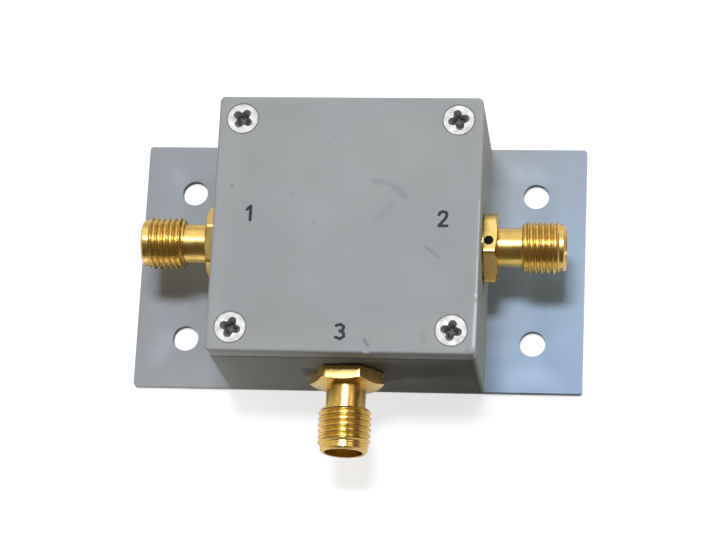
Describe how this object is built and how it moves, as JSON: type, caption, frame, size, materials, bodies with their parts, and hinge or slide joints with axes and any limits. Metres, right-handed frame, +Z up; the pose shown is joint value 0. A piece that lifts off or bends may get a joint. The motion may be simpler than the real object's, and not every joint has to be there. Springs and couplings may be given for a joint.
{
  "type": "coaxial mixer",
  "caption": "Square screened box on a flat bracket with drilled ears, with a screwed cover and a threaded gold-plated coaxial jack in each of its walls but the rear one.",
  "frame": {"origin": "under the middle of the box, on the underside of the mounting bracket", "axes": "+Z up through the cover, +X along the bracket towards the right-hand jack, -Y towards the front jack"},
  "size_m": [0.0556, 0.0417, 0.0191],
  "materials": {
    "box_finish": "satin",
    "cover_finish": "satin",
    "bracket_finish": "satin",
    "screw_steel": "satin",
    "jack_gold": "satin",
    "contact_gold": "polished",
    "insulator_white": "satin",
    "epoxy_black": "gloss",
    "board_green": "satin",
    "track_copper": "satin",
    "core_ferrite": "matte",
    "winding_copper": "gloss",
    "quad_package": "satin",
    "solder": "satin"
  },
  "bodies": {
    "root": {"housing": "box_finish", "cover_plate": "cover_finish", "cover_screws": "screw_steel", "mounting_bracket": "bracket_finish", "bracket_screws": "screw_steel", "lo_jack_body": "jack_gold", "lo_jack_dielectric": "insulator_white", "lo_jack_contact": "contact_gold", "lo_jack_epoxy": "epoxy_black", "rf_jack_body": "jack_gold", "rf_jack_dielectric": "insulator_white", "rf_jack_contact": "contact_gold", "rf_jack_epoxy": "epoxy_black", "if_jack_body": "jack_gold", "if_jack_dielectric": "insulator_white", "if_jack_contact": "contact_gold", "if_jack_epoxy": "epoxy_black", "circuit_board": "board_green", "board_tracks": "track_copper", "board_screws": "screw_steel", "lo_core": "core_ferrite", "lo_winding": "winding_copper", "rf_core": "core_ferrite", "rf_winding": "winding_copper", "diode_quad": "quad_package", "diode_leads": "contact_gold", "solder_joints": "solder"}
  },
  "joints": []
}
